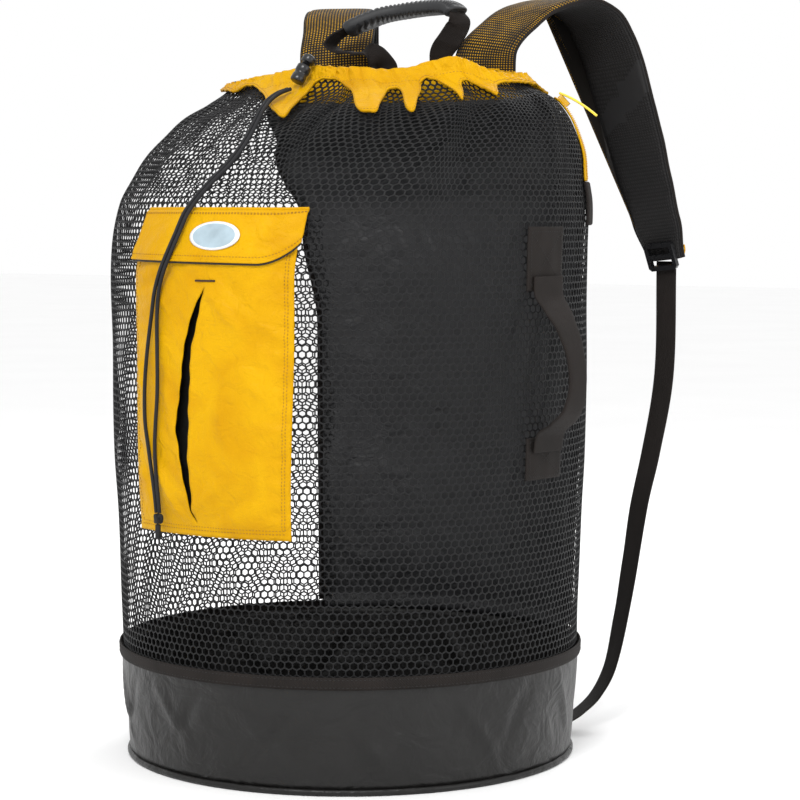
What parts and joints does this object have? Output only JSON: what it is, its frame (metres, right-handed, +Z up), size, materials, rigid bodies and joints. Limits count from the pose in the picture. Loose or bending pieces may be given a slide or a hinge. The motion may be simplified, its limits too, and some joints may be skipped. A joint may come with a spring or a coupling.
{
  "type": "mesh dive gear bag",
  "caption": "Round free-standing mesh gear bag with a coated tub, gathered mouth, front pocket, padded shoulder straps, carry handle and side grab handle.",
  "frame": {"origin": "middle of the tub's flat underside, on the floor that the bag stands on", "axes": "+Z up, -Y towards the front pocket, +Y towards the back panel and shoulder straps, +X towards the side grab handle"},
  "size_m": [0.5123, 0.5753, 0.754],
  "materials": {
    "coated_black": "coated, semi-gloss",
    "net_black": "knitted net, satin",
    "panel_black": "woven, matt",
    "yellow_nylon": "coated nylon, satin",
    "webbing": "woven webbing, matt",
    "pad_black": "padded cloth, matt",
    "cord_black": "braided cord, matt",
    "rubber": "ribbed, matt",
    "hard_black": "moulded, satin",
    "badge_grey": "plain, matt"
  },
  "bodies": {
    "bag": {"base_floor": "coated_black", "base_welt": "coated_black", "base_wall": "coated_black", "base_binding": "webbing", "net_body": "net_black", "back_panel": "panel_black", "collar": "yellow_nylon", "front_pocket": "yellow_nylon", "pocket_flap": "yellow_nylon", "pocket_badge": "badge_grey", "side_handle_anchor_upper": "webbing", "side_handle_anchor_lower": "webbing", "side_handle": "webbing", "zip_tape": "yellow_nylon", "zip_garage": "webbing", "zip_slider": "yellow_nylon", "zip_pull": "yellow_nylon", "top_handle_web": "webbing", "top_handle_grip": "rubber", "shoulder_strap_right": "pad_black", "shoulder_strap_left": "pad_black", "ladder_lock_right": "hard_black", "ladder_lock_left": "hard_black", "adjuster_web_right": "webbing", "adjuster_web_left": "webbing", "cord_lock": "hard_black", "drawcord_left": "cord_black", "drawcord_right": "cord_black", "drawcord_knot": "cord_black", "drawcord_tail": "cord_black"},
    "cord_lock_button": {"cord_lock_plunger": "hard_black"}
  },
  "joints": [
    {"name": "cord_lock_press", "type": "slide", "parent": "bag", "child": "cord_lock_button", "axis": [-0.2099, -0.5034, -0.8382], "range_m": [0, 0.003], "stiffness_N_per_m": 400, "springref_m": -0.004}
  ]
}
